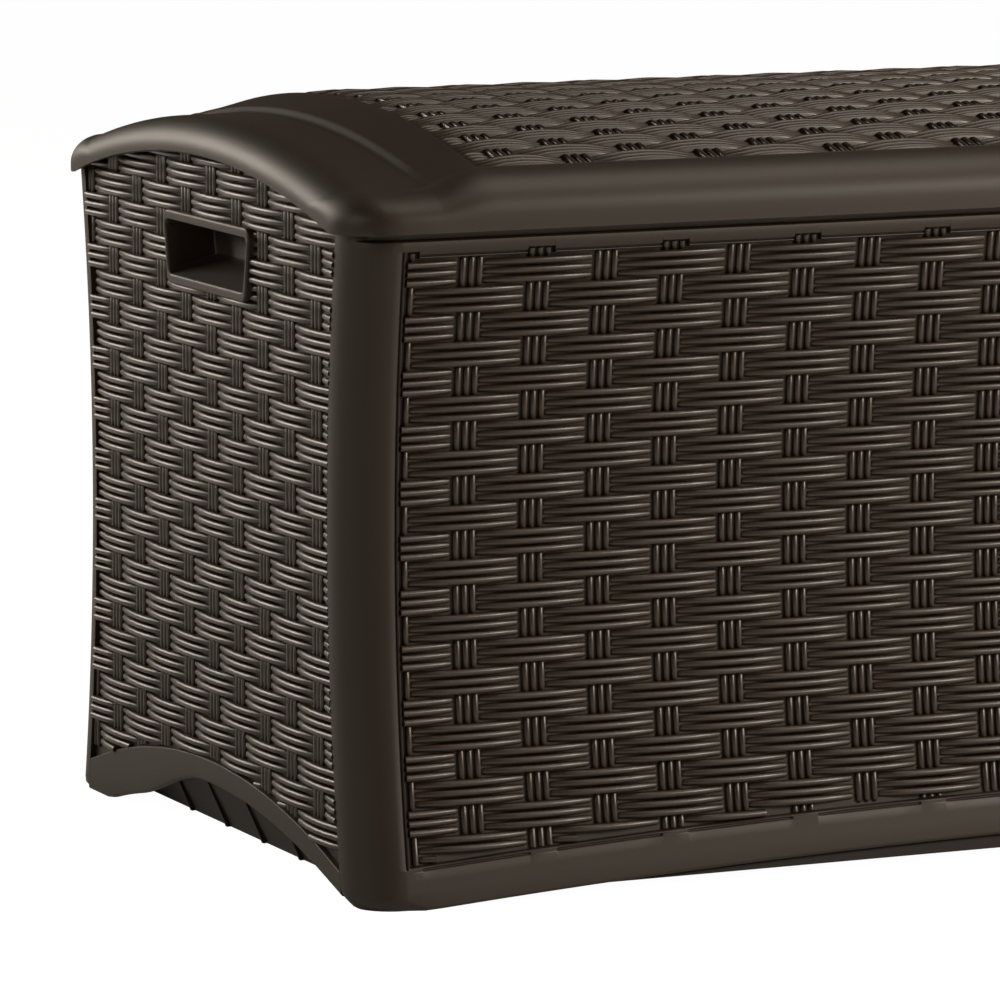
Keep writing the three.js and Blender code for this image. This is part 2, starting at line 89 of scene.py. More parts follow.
studio_lamp(
    "rear_left_lamp", place=(-2.3, 3.1, 1.65), aim=(-0.4, 0, 0.4),
    width=2.2, height=1.2, power=117)
studio_lamp(
    "left_lamp", place=(-3.4, -0.9, 1.7), aim=(-0.5, 0, 0.3),
    width=1.2, height=1.2, power=38)
studio_lamp(
    "right_lamp", place=(2.4, -2.6, 1.7), aim=(0.0, -0.2, 0.3),
    width=0.9, height=1.0, power=204)
studio_lamp(
    "overhead_lamp", place=(0.9, -0.3, 2.9), aim=(0.9, -0.35, 0.4),
    width=1.8, height=1.8, power=47)

sky = bpy.data.worlds.new("studio_sky")
sky.use_nodes = True
sky_light = sky.node_tree.nodes["Background"]
sky_light.inputs["Color"].default_value = (1, 1, 1, 1)
sky_light.inputs["Strength"].default_value = sky_fill
sky_seen = sky.node_tree.nodes.new("ShaderNodeBackground")
sky_seen.inputs["Color"].default_value = (1, 1, 1, 1)
sky_seen.inputs["Strength"].default_value = 1.0
sky_ray = sky.node_tree.nodes.new("ShaderNodeLightPath")
sky_mix = sky.node_tree.nodes.new("ShaderNodeMixShader")
sky.node_tree.links.new(sky_ray.outputs["Is Camera Ray"], sky_mix.inputs[0])
sky.node_tree.links.new(sky_light.outputs[0], sky_mix.inputs[1])
sky.node_tree.links.new(sky_seen.outputs[0], sky_mix.inputs[2])
sky.node_tree.links.new(sky_mix.outputs[0], sky.node_tree.nodes["World Output"].inputs[0])
bpy.context.scene.world = sky
bpy.context.scene.view_settings.view_transform = "Standard"


# ---- Front and back panels ----------------------------------------------------------
# Each long panel is one injection-moulded resin skin that wraps round both corners as
# rounded posts, stands on corner feet, and frames a sunken woven field with a bead.


def mesh_piece(name, points, faces, finish, smooth_below=40):
    """A mesh object from an (n, 3) array of points and an (m, 4) array of faces.

    Edges that turn more than smooth_below degrees stay sharp."""
    mesh = bpy.data.meshes.new(name)
    mesh.from_pydata(points, [], faces)
    mesh.update()
    mesh.shade_smooth()
    mesh.set_sharp_from_angle(angle=math.radians(smooth_below))
    piece = bpy.data.objects.new(name, mesh)
    bpy.context.scene.collection.objects.link(piece)
    piece.data.materials.append(finish)
    return piece


class Wire:
    """A socket in a finish's node tree.  Sums and products of wires and numbers add Math
    nodes, and node() adds any other node: its settings first, then its sockets."""

    def __init__(self, tree, socket=None):
        self.tree = tree
        self.socket = socket

    def node(self, kind, settings=None, output=0, **sockets):
        """Add a node.  A socket is named, with _ for a space, or numbered as n0, n1."""
        made = self.tree.nodes.new(kind)
        for key, value in (settings or {}).items():
            setattr(made, key, value)
        for name, value in sockets.items():
            key = int(name[1:]) if name[1:].isdigit() else name.replace("_", " ")
            if isinstance(value, Wire):
                self.tree.links.new(value.socket, made.inputs[key])
            else:
                made.inputs[key].default_value = value
        return Wire(self.tree, made.outputs[output])

    def sum_of(self, operation, *values):
        """One Math node over wires and numbers."""
        sockets = {f"n{i}": value for i, value in enumerate(values)}
        return self.node("ShaderNodeMath", {"operation": operation}, **sockets)

    # Sums, differences and products, with a number or a wire on either side.
    def __add__(self, other):
        return self.sum_of("ADD", self, other)

    def __radd__(self, other):
        return self.sum_of("ADD", other, self)

    def __sub__(self, other):
        return self.sum_of("SUBTRACT", self, other)

    def __rsub__(self, other):
        return self.sum_of("SUBTRACT", other, self)

    def __mul__(self, other):
        return self.sum_of("MULTIPLY", self, other)

    def __rmul__(self, other):
        return self.sum_of("MULTIPLY", other, self)

    def blend(self, low, high):
        """The colour between low and high that this wire's value, 0 to 1, picks."""
        return self.node(
            "ShaderNodeMix", {"data_type": "RGBA"}, output=2, n0=self, n6=low, n7=high)


cloud_share = 0.7
sheen_change = 0.08
grain_depth = 0.00006
resin_ior = 1.45


def moulded_resin(name, colour, pale, roughness, shine):
    """Through-coloured polypropylene from a sparked mould.

    The tone runs from colour to pale with slow clouds and fine flecks, the roughness rises
    and falls with the clouds, and the bump is a fine even grain."""
    finish = bpy.data.materials.new(name)
    finish.use_nodes = True
    tree = finish.node_tree
    shader = tree.nodes["Principled BSDF"]
    start = Wire(tree)
    place = start.node("ShaderNodeTexCoord", output=3)
    cloud = start.node("ShaderNodeTexNoise", Vector=place, Scale=9.0, Detail=3.0)
    fleck = start.node("ShaderNodeTexNoise", Vector=place, Scale=900.0, Detail=2.0)
    grain = start.node("ShaderNodeTexNoise", Vector=place, Scale=1500.0, Detail=2.0, Roughness=0.6)
    tone = (cloud * cloud_share + fleck * (1 - cloud_share)).blend((*colour, 1), (*pale, 1))
    tree.links.new(tone.socket, shader.inputs["Base Color"])
    sheen = (cloud - 0.5) * sheen_change + roughness
    tree.links.new(sheen.socket, shader.inputs["Roughness"])
    bump = start.node("ShaderNodeBump", Height=grain, Strength=0.35, Distance=grain_depth)
    tree.links.new(bump.socket, shader.inputs["Normal"])
    shader.inputs["IOR"].default_value = resin_ior
    shader.inputs["Specular IOR Level"].default_value = shine
    return finish


# The smooth skins take a darker copy of the resin than the weave. This is the resin's own dark
# brown, darkened further as painted shade so that the sunken field floor between the strands reads
# dark.
smooth_resin_shade_darkened = moulded_resin(
    "smooth_resin_shade_darkened", (0.0090, 0.0044, 0.0013), (0.0120, 0.0062, 0.0023), roughness=0.52, shine=0.36)

low_corner, high_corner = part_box("front_panel")
wall_half_length = high_corner.x
lid_line = 0.47
floor_half_depth = -low_corner.y
waist_height = 0.250
hollow_radius = 1.326
waist_half_depth = floor_half_depth - waist_height ** 2 / (2 * hollow_radius)
wall = 0.005
thinnest_wall = 0.0015
corner_radius = 0.036
post_width = 0.0377
seam_gap = 0.0002
edge_gap = 0.001
rim_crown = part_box("left_end_panel")[1].z
rim_radius = 1.010
field_half_length = 0.5377
field_top = 0.4512
notch_rise = 0.0046
notch_half = 0.0098
first_rib_x = -0.4880
long_pitch = 0.05098
notch_places = first_rib_x + long_pitch * np.arange(-1, 21, 2)
field_foot = 0.030
field_foot_rise = 0.0185
front_arch = {"half_width": 0.525, "rise": 0.018}
end_arch = {"half_width": 0.2635, "rise": 0.0455}
rear_heel_from = 0.015
rear_heel_to = 0.145
rear_heel_drop = 0.0185
hinge_places = np.array([-0.380, 0.0, 0.380])
hinge_pad_half = 0.0325
hinge_pad_foot = 0.4255
hinge_pad_top = field_top + 0.009

# How suddenly a pad or notch starts: a step in height, and shares of a half width.
pad_step = 0.0003
pad_sharpness = 0.01
notch_sharpness = 0.08

# Across a field's edge: distance outside the field, and depth below the frame's face.  The
# bead is a rounded lip with a fine groove round it.
bead_across = np.array([0.0, 0.0003, 0.0007, 0.0012, 0.0018, 0.0022, 0.0026, 0.0032, 0.0036, 0.0042])
bead_depth = np.array([0.0042, 0.0016, 0.0003, 0.0, 0.0002, 0.0008, 0.0016, 0.0016, 0.0004, 0.0])
bead_squash = 0.8
bead_lip = 0.0012

# Across the shadow slot under the lid's rail, and round the skirt's and rim's edges.  The
# slot fades out behind the posts, and the skirt's edge is rounder under them.
slot_from = 0.4628
slot_reach = 2.2
slot_fade = 0.018
post_edge_growth = 2.2
post_edge_blend = 0.012
slot_across = np.array([0, 0.0004, 0.0010, 0.0016, 0.0020])
slot_depth = np.array([0, 0.0003, 0.0016, 0.0038, 0.0044])
edge_across = np.array([0, 0.0004, 0.0012, 0.0025])
edge_depth = np.array([0.0020, 0.0009, 0.0002, 0])


def half_depth(z):
    """Half the box's depth at height z: the waist, plus height above it squared over
    twice the hollow's radius."""
    return waist_half_depth + (z - waist_height) ** 2 / (2 * hollow_radius)


def rim_height(y):
    """Height of the walls' top edge at depth y: an arch that falls from its crown."""
    return rim_crown - y ** 2 / (2 * rim_radius)


def arch_height(across, half_width, rise):
    """Height of a skirt's lower edge: a circular arch of that half-width and rise,
    and the ground outside it."""
    radius = (half_width ** 2 + rise ** 2) / (2 * rise)
    inside = np.clip(radius ** 2 - across ** 2, 0, None)
    return np.clip(rise - radius + np.sqrt(inside), 0, None)


def end_skirt_edge(y):
    """Height of an end skirt's lower edge: its arch, lowered towards the rear by the heel's
    drop, and never below the ground."""
    share = np.clip((y - rear_heel_from) / (rear_heel_to - rear_heel_from), 0, 1)
    heel = rear_heel_drop * share * share * (3 - 2 * share)
    return np.clip(arch_height(y, **end_arch) - heel, 0, None)


def long_field_foot(x):
    """Height of a long field's lower edge: highest in the middle, falling to the ends
    with the square of the distance."""
    share = np.clip(np.abs(x) / field_half_length, 0, 1)
    return field_foot + field_foot_rise * (1 - share ** 2)


def round_the_post(along, inset):
    """Plan position at a distance along the panel from its middle: straight to the post,
    a quarter turn round it, and on to the seam.  Returns x and the setback from the
    panel's face, for a surface moved in by inset."""
    straight = wall_half_length - corner_radius
    past = np.clip(np.abs(along) - straight, 0, None)
    turn = np.clip(past / corner_radius, 0, math.pi / 2)
    beyond = np.clip(past - corner_radius * math.pi / 2, 0, None)
    x = np.minimum(np.abs(along), straight) + (corner_radius - inset) * np.sin(turn)
    setback = corner_radius - (corner_radius - inset) * np.cos(turn) + beyond
    return np.sign(along) * x, setback


def edge_columns(places, half_width, sharpness):
    """Columns on both upright edges of every place, and again just outside them, by
    sharpness times the half width."""
    share = np.array([-1 - sharpness, -1, 1, 1 + sharpness])
    return (places[:, None] + half_width * share).ravel()


def shell_faces(keep):
    """Faces of a closed shell over a grid of cells: the outer cells that keep marks, the
    same cells behind them turned round, and a wall along every open edge."""
    rows, columns = keep.shape
    count = (rows + 1) * (columns + 1)
    number = np.arange(count).reshape(rows + 1, columns + 1)
    corners = [number[:-1, :-1], number[:-1, 1:], number[1:, 1:], number[1:, :-1]]
    outer = np.stack(corners, -1)[keep]
    faces = [outer, outer[:, ::-1] + count]
    padded = np.pad(keep, 1)
    neighbours = [padded[:-2, 1:-1], padded[1:-1, 2:], padded[2:, 1:-1], padded[1:-1, :-2]]
    for i, neighbour in enumerate(neighbours):
        edge = keep & ~neighbour
        first = corners[i][edge]
        second = corners[(i + 1) % 4][edge]
        faces.append(np.stack([second, first, first + count, second + count], -1))
    return np.concatenate(faces)


def shell_piece(name, outer, inner, finish, keep=None, flip=False):
    """A closed shell between two grids of points of the same shape."""
    if keep is None:
        keep = np.ones((outer.shape[0] - 1, outer.shape[1] - 1), bool)
    points = np.concatenate([outer.reshape(-1, 3), inner.reshape(-1, 3)])
    faces = shell_faces(keep)
    if flip:
        faces = faces[:, ::-1]
    used, faces = np.unique(faces, return_inverse=True)
    return mesh_piece(name, points[used], faces.reshape(-1, 4), finish)


def long_panel(name, facing):
    """The skin of the front (facing -1) or back (+1) panel on a grid.

    Columns run along the panel and round the posts; rows run from the skirt's arched edge
    to the rim, and bend with the field's arched foot.  The depth below the face follows
    the distance outside the field's edge, and is nil on the pads behind the hinges."""
    straight = wall_half_length - corner_radius
    quarter_turn = corner_radius * math.pi / 2
    seam = straight + quarter_turn + post_width - corner_radius - seam_gap
    post = straight + quarter_turn * np.linspace(0.12, 1, 14)
    inside = np.linspace(0, field_half_length, 25)[:-1]
    half = np.concatenate([inside, field_half_length + bead_across, post, [seam]])
    along = np.concatenate([-half[:0:-1], half])
    if facing > 0:
        along = np.concatenate([along, edge_columns(hinge_places, hinge_pad_half, pad_sharpness)])
    notch_edges = edge_columns(notch_places, notch_half, notch_sharpness)
    notch_edges = notch_edges[np.abs(notch_edges) < field_half_length - edge_gap]
    along = np.sort(np.concatenate([along, notch_edges]))
    notch_reach = notch_half * (1 + notch_sharpness / 2)
    in_notch = np.abs(along[:, None] - notch_places).min(-1) < notch_reach
    top = field_top + notch_rise * in_notch

    # The skirt, the bead's foot, the field, the bead's top, the band, the slot and the rim.
    x0, setback0 = round_the_post(along, 0)
    field_low = long_field_foot(along)
    end_low = end_skirt_edge(facing * (floor_half_depth - setback0))
    low = np.where(np.abs(along) < straight, arch_height(x0, **front_arch), end_low)
    high = rim_height(half_depth(lid_line) - setback0)
    pad_rows = [hinge_pad_foot, hinge_pad_foot + pad_step]
    past_straight = np.abs(along) - straight
    foot_growth = 1 + post_edge_growth * np.clip(past_straight / post_edge_blend + 1, 0, 1)
    slot_share = np.clip(slot_reach - past_straight / slot_fade, 0, 1)
    rows = [low + step * foot_growth for step in edge_across]
    rows += [low + (field_low - low) * part for part in (0.45, 0.65)]
    rows += [field_low - step for step in bead_across[::-1]]
    rows += [field_low + (pad_rows[0] - field_low) * part for part in np.linspace(0, 1, 29)[1:]]
    rows += [pad_rows[1] + 0 * low]
    rows += [top + step * bead_squash for step in bead_across]
    rows += [slot_from + step + 0 * low for step in slot_across]
    rows += [high - step for step in edge_across[::-1]]
    z = np.stack(rows)

    grid = np.broadcast_to(along, z.shape)
    outside_x = np.abs(grid) - field_half_length
    outside_z = np.maximum(field_low - z, (z - top) / bead_squash)
    depth = np.interp(np.maximum(outside_x, outside_z), bead_across, bead_depth)
    depth[in_notch & (outside_z > bead_lip)] = 0
    depth += np.interp(z - slot_from, slot_across, slot_depth) * slot_share
    depth[:4] += edge_depth[:, None] * foot_growth
    if facing > 0:
        pad_reach = hinge_pad_half * (1 + pad_sharpness / 2)
        near_hinge = np.abs(grid[..., None] - hinge_places).min(-1) < pad_reach
        depth[near_hinge & (z > hinge_pad_foot + pad_step / 2) & (z < hinge_pad_top)] = 0

    def at(inset):
        """The grid's points, moved in by inset from the face and the posts."""
        x, setback = round_the_post(grid, inset)
        return np.stack([x, facing * (half_depth(z) - setback), z], -1)

    behind = np.maximum(wall, depth + thinnest_wall)
    return shell_piece(name, at(depth), at(behind), smooth_resin_shade_darkened, flip=facing > 0)


for side, facing in (("front", -1), ("back", 1)):
    panel = long_panel(f"{side}_panel_skin", facing)
    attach(panel, "box")
    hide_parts(f"{side}_panel")


# Inside each corner, a moulded foot carries the box.  Its profile is setback from the
# post's face, and height.
foot_inner = 0.251
foot_start = 0.5175
foot_height = 0.0086
foot_side = 0.0045
foot_profile = ((0.0085, 0.0), (0.0070, 0.0008), (0.0050, 0.0040), (foot_side, foot_height))


def ring_stack(name, rings, turned):
    """A closed solid through equal rings of points: walls from each ring to the next, and a
    flat cap on the first and the last.  turned reverses every face."""
    count = len(rings[0])
    here = np.arange(count)
    beside = (here + 1) % count
    step = np.arange(len(rings) - 1)[:, None] * count
    quads = np.stack([step + here, step + beside, step + beside + count, step + here + count], -1)
    last = (len(rings) - 1) * count
    faces = quads.reshape(-1, 4).tolist() + [here[::-1].tolist(), (last + here).tolist()]
    if turned:
        faces = [face[::-1] for face in faces]
    return mesh_piece(name, np.concatenate(rings), faces, smooth_resin_shade_darkened)


def corner_foot(name, side, facing):
    """A flat block whose plan follows the inside of the post, with a softened lower edge.
    side is -1 or +1 along x, facing -1 or +1 along y."""
    quarter_turn = corner_radius * math.pi / 2
    bend = wall_half_length - corner_radius + quarter_turn * np.linspace(0, 0.97, 12)
    rings = []
    for inset, z in foot_profile:
        shrink = inset - foot_side
        x, setback = round_the_post(bend, inset)
        y = half_depth(z) - setback
        straight_x = [x[-1], foot_start + shrink, foot_start + shrink]
        straight_y = [foot_inner + shrink, foot_inner + shrink, y[0]]
        plan_x = np.concatenate([x, straight_x])
        plan_y = np.concatenate([y, straight_y])
        rings.append(np.stack([side * plan_x, facing * plan_y, np.full(len(plan_x), z)], -1))
    return ring_stack(name, rings, turned=side * facing > 0)


for side, facing in (("front", -1), ("back", 1)):
    for hand, along_x in (("left", -1), ("right", 1)):
        foot = corner_foot(f"{side}_{hand}_foot", along_x, facing)
        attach(foot, "box")
        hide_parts(f"{side}_panel")


# ---- Woven fields of the long panels ------------------------------------------------
# Moulded wicker, in one with the panels, a little shinier and paler than the smooth skins, whose
# darker tone is painted shade for the field floor between the strands: level bricks of three plump
# strands that bulge between groups of three upright ribs, each row shifted by half a brick.
woven_resin = moulded_resin(
    "woven_resin", (0.0118, 0.0060, 0.0020), (0.0158, 0.0084, 0.0033), roughness=0.41, shine=0.50)

# A brick starts and ends that far from the middle of a rib group.  Lengths under
# short_strip get shorter tips, and bulges under full_bulge_length are flatter.
row_pitch = 0.01905
strand_pitch = 0.00635
strand_half_width = 0.00235
rib_pitch = 0.0063
rib_half_width = 0.0023
brick_start = 0.0080
brick_end = 0.0097
shortest_piece = 0.003
strand_crest = 0.0022
rib_crest = 0.0016
tip_length = 0.0024
tip_drop = 0.0022
blunt_tip = 0.12
full_bulge_length = 0.06
short_strip = 0.012
rib_overlap = 0.002
least_side = 0.0002

# Stations along a strand or rib: part of its length, and a step beyond that.
strand_stations = (
    np.array([0, 0, 0, 0.3, 0.5, 0.7, 1, 1, 1]),
    np.array([0, 0.0006, 0.0024, 0, 0, 0, -0.0024, -0.0006, 0]),
)
rib_stations = (np.array([0, 0, 1, 1]), np.array([0, 0.002, -0.002, 0]))


def lattice(columns, rows, parity):
    """Column and row numbers of every rib group: those whose sum is odd or even."""
    i, j = np.meshgrid(columns, rows)
    chosen = (i + j) % 2 == parity
    return i[chosen], j[chosen]


def threes(starts, ends, lines, spacing, arch_starts, arch_ends):
    """Three parallel strips per place: start, end, line across, and the arch's ends."""
    strips = [
        np.stack([starts, ends, lines + step, arch_starts, arch_ends], -1)
        for step in (-spacing, 0, spacing)
    ]
    return np.concatenate(strips)


def weave_strips(first_x, pitch_x, first_z, i, j, rib_step=rib_pitch):
    """The strands along x and the ribs across them, for rib groups i in rows j."""
    x = first_x + pitch_x * i
    z = first_z + row_pitch * j
    start = x + brick_start
    end = x + 2 * pitch_x - brick_end
    strands = threes(start, end, z, strand_pitch, start, end)
    reach = row_pitch / 2 + rib_overlap
    ribs = threes(z - reach, z + reach, x, rib_step, z - reach, z + reach)
    return strands, ribs


def clip_strips(strips, low, high):
    """The strips cut off at low and high, without those that become too short."""
    strips = strips.copy()
    strips[:, 0] = np.maximum(strips[:, 0], low)
    strips[:, 1] = np.minimum(strips[:, 1], high)
    return strips[strips[:, 1] - strips[:, 0] > shortest_piece]


def cut_strips(strips, gap_low, gap_high):
    """The strips with the stretch between gap_low and gap_high taken out of each."""
    cut = gap_low < gap_high
    left = strips.copy()
    left[:, 1] = np.where(cut, np.minimum(strips[:, 1], gap_low), strips[:, 1])
    right = strips[cut]
    right[:, 0] = np.maximum(right[:, 0], gap_high[cut])
    both = np.concatenate([left, right])
    return both[both[:, 1] - both[:, 0] > shortest_piece]


def strip_mesh(strips, stations, half_width, crest, ends_at, middle_at, base, place, flip):
    """Points and faces of closed D-shaped rods, one per strip.

    Height along a rod follows a parabola from ends_at to middle_at, flatter on short ones.
    Whole tips round off as a quarter circle and cut ones stay blunt.  Across, a rod is half
    an ellipse crest high on two upright sides, and its underside lies flat at base."""
    part, step = stations
    start = strips[:, 0:1]
    length = strips[:, 1:2] - start
    along = start + length * part + step * np.minimum(1, length / short_strip)
    arch_start = strips[:, 3:4]
    arch_end = strips[:, 4:5]
    tip = np.minimum(along - arch_start, arch_end - along) / tip_length
    rounding = np.sqrt(np.clip(1 - (1 - np.clip(tip, 0, 1)) ** 2, blunt_tip, 1))
    share = (along - arch_start) / (arch_end - arch_start)
    bulge = (middle_at - ends_at) * np.clip((arch_end - arch_start) / full_bulge_length, 0, 1)
    top = ends_at + bulge * (1 - (2 * share - 1) ** 2) - tip_drop * (1 - rounding)

    angle = np.linspace(0, math.pi, 6)
    width = half_width * rounding[..., None]
    arc_across = strips[:, 2, None, None] + width * np.cos(angle)
    arc_height = top[..., None] + crest * (np.sin(angle) - 1)
    foot_across = strips[:, 2, None, None] + width * np.array([-1, 1])
    foot_height = np.full(foot_across.shape, base)
    across = np.concatenate([arc_across, foot_across], -1)
    height = np.concatenate([np.maximum(arc_height, base + least_side), foot_height], -1)
    points = place(np.broadcast_to(along[..., None], across.shape), across, height)

    # Points 0 to 5 of a section run over the rod, and 6 and 7 are its feet.
    count, length_steps, ring = across.shape
    here = np.arange(length_steps - 1)[:, None] * ring + np.arange(ring)
    beside = np.arange(length_steps - 1)[:, None] * ring + (np.arange(ring) + 1) % ring
    sides = np.stack([here, beside, beside + ring, here + ring], -1).reshape(-1, 4)
    cap = np.array([[7, 0, 5, 6], [0, 1, 4, 5], [1, 2, 3, 4]])
    one = np.concatenate([sides, cap[:, ::-1], cap + (length_steps - 1) * ring])
    if flip:
        one = one[:, ::-1]
    faces = one + (np.arange(count) * length_steps * ring)[:, None, None]
    return points.reshape(-1, 3), faces.reshape(-1, 4)


def weave_piece(name, strands, ribs, heights, place, mirrored):
    """A woven field: strands and ribs on a surface that place() gives from distance along,
    distance across and height.  heights are the base, the ribs' top, and the strands' top
    at their ends and in the middle."""
    base, rib_top, strand_ends, strand_middle = heights
    first, faces = strip_mesh(
        strands, strand_stations, strand_half_width, strand_crest, strand_ends, strand_middle,
        base, place, mirrored)
    second, more = strip_mesh(
        ribs, rib_stations, rib_half_width, rib_crest, rib_top, rib_top, base,
        lambda along, across, height: place(across, along, height), not mirrored)
    points = np.concatenate([first, second])
    faces = np.concatenate([faces, more + len(first)])
    return mesh_piece(name, points, faces, woven_resin, smooth_below=60)


# The weave's heights above the panel's face: base, rib top, strand ends and strand middle.
wall_weave_heights = (-0.0047, -0.0016, -0.0025, 0.0021)
field_margin = 0.0003
strand_room = 0.0004
rib_tuck = 0.0008
pad_clearance = 0.0035
first_row_z = 0.4405
long_i, long_j = lattice(np.arange(-3, 24), np.arange(-21, 2), 0)
long_strands, long_ribs = weave_strips(first_rib_x, long_pitch, first_row_z, long_i, long_j)


def long_weave(name, facing):
    """The woven field of the front (-1) or back (+1) panel, cut off at the field's edges and
    round the hinge pads."""
    limit = field_half_length - field_margin
    strands = clip_strips(long_strands, -limit, limit)
    room = strand_half_width + strand_room
    strands = strands[strands[:, 2] < field_top - room + edge_gap]
    rise = np.clip((strands[:, 2] - room - field_foot) / field_foot_rise, None, 1)
    strands = strands[rise > 0]
    hidden = field_half_length * np.sqrt(1 - rise[rise > 0])
    strands = cut_strips(strands, -hidden, np.where(hidden > 0, hidden, -1))
    ribs = long_ribs[np.abs(long_ribs[:, 2]) < limit - rib_half_width + rib_tuck]
    rib_top = field_top + notch_rise - rib_tuck
    ribs = clip_strips(ribs, long_field_foot(ribs[:, 2]) + edge_gap, rib_top)
    if facing > 0:
        for x in hinge_places:
            edge = hinge_pad_half + edge_gap
            high = strands[:, 2] > hinge_pad_foot - pad_clearance
            strands = cut_strips(strands, np.where(high, x - edge, 1), np.where(high, x + edge, -1))
            near = np.abs(ribs[:, 2] - x) < edge + rib_half_width
            ribs = clip_strips(ribs, -1, np.where(near, hinge_pad_foot - edge_gap, 1))

    def place(x, z, height):
        """A point at that height above the hollowed face."""
        return np.stack([x, facing * (half_depth(z) + height), z], -1)

    return weave_piece(name, strands, ribs, wall_weave_heights, place, facing > 0)


for side, facing in (("front", -1), ("back", 1)):
    weave = long_weave(f"{side}_weave", facing)
    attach(weave, "box")
    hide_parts(f"{side}_panel")


# ---- End panels ---------------------------------------------------------------------
# Each end is a separate moulded resin panel held between the two posts: an arched skirt,
# a woven field down to an arch with a rounded lip, and an opening for the finger grip.
end_foot_crown = 0.063
end_foot_radius = 0.785
grip_y = -0.007
grip_z = 0.430
window_half_width = 0.0795
window_half_height = 0.021
end_straight = 0.205
near_foot = 0.03
near_rim = 0.48
rim_leaf = 0.0006


def end_field_foot(y):
    """Height of an end field's lower edge: a circular arch down from its crown."""
    return end_foot_crown - end_foot_radius + np.sqrt(end_foot_radius ** 2 - y ** 2)


def end_panel(name, facing):
    """The skin of the left (-1) or right (+1) end on a grid.

    Columns are upright except near the seams, where they lean with the posts; rows follow
    the skirt's arch, the field's arch, the grip's opening and the rim."""
    inner = np.linspace(window_half_width, end_straight, 12)
    half = np.concatenate([np.linspace(0, window_half_width, 9)[:-1], inner])
    middle = np.concatenate([-half[:0:-1], half]) + grip_y
    outward = np.linspace(0, 1, 5)[1:]
    window_low = grip_z - window_half_height
    window_high = grip_z + window_half_height
    lean = np.concatenate([outward[::-1], np.zeros(len(middle)), outward])
    base_y = np.concatenate([np.full(4, middle[0]), middle, np.full(4, middle[-1])])
    side = np.sign(base_y)

    def y_at(z):
        """Depth of each column at height z: its own, leaning to the seam near the posts."""
        seam = half_depth(z) - post_width - seam_gap
        return base_y + (side * seam - base_y) * lean

    foot_y = y_at(near_foot)
    low = end_skirt_edge(foot_y)
    field_low = end_field_foot(foot_y)
    high = rim_height(y_at(near_rim))
    rows = [low + step for step in edge_across]
    rows += [low + (field_low - low) * 0.45]
    rows += [field_low - step for step in bead_across[::-1]]
    rows += [field_low + (window_low - field_low) * part for part in np.linspace(0, 1, 24)[1:]]
    beside_window = np.linspace(window_low, window_high, 5)[1:]
    rows += [height + 0 * low for height in beside_window]
    rows += [window_high + (high - edge_across[-1] - window_high) * part for part in (0.35, 0.7)]
    rows += [high - step for step in edge_across[::-1]]
    z = np.stack(rows)
    y = y_at(z)

    # A plain rounded lip along the arch, the bead without its groove, and at the rim only a
    # thin leaf under the lid.
    depth = np.interp(field_low - z, bead_across[:4], bead_depth[:4])
    depth[:4] += edge_depth[:, None]
    depth[-4:] = np.maximum(depth[-4:], wall - rim_leaf)
    cell_y = (base_y[1:] + base_y[:-1]) / 2
    cell_z = (z[1:, 1:] + z[:-1, :-1]) / 2
    upright = (lean[1:] == 0) & (lean[:-1] == 0)
    in_window = (np.abs(cell_y - grip_y) < window_half_width) & upright
    keep = ~(in_window & (cell_z > window_low) & (cell_z < window_high))

    def at(inset):
        """The grid's points, moved in by inset from the flat face."""
        return np.stack([facing * (wall_half_length - inset), y, z], -1)

    return shell_piece(name, at(depth), at(wall + 0 * depth), smooth_resin_shade_darkened, keep, flip=facing < 0)


for side, facing in (("left", -1), ("right", 1)):
    panel = end_panel(f"{side}_end_skin", facing)
    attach(panel, "box")
    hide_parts(f"{side}_end_panel")

# The end weave is the same wicker pattern, cut off at the seams, the arch, the rim and
# the finger grip's raised rim.
end_pitch = 0.0489
grip_rim_width = 0.165
grip_rim_height = 0.053
grip_taper = 0.012
end_i, end_j = lattice(np.arange(-8, 9), np.arange(-20, 5), 1)
end_lowest_strand = 0.02
end_rib_limit = 0.24
grip_overlap = 0.002
end_rib_y = -0.0052
end_row_z = 0.4268
end_strands, end_ribs = weave_strips(end_rib_y, end_pitch, end_row_z, end_i, end_j)


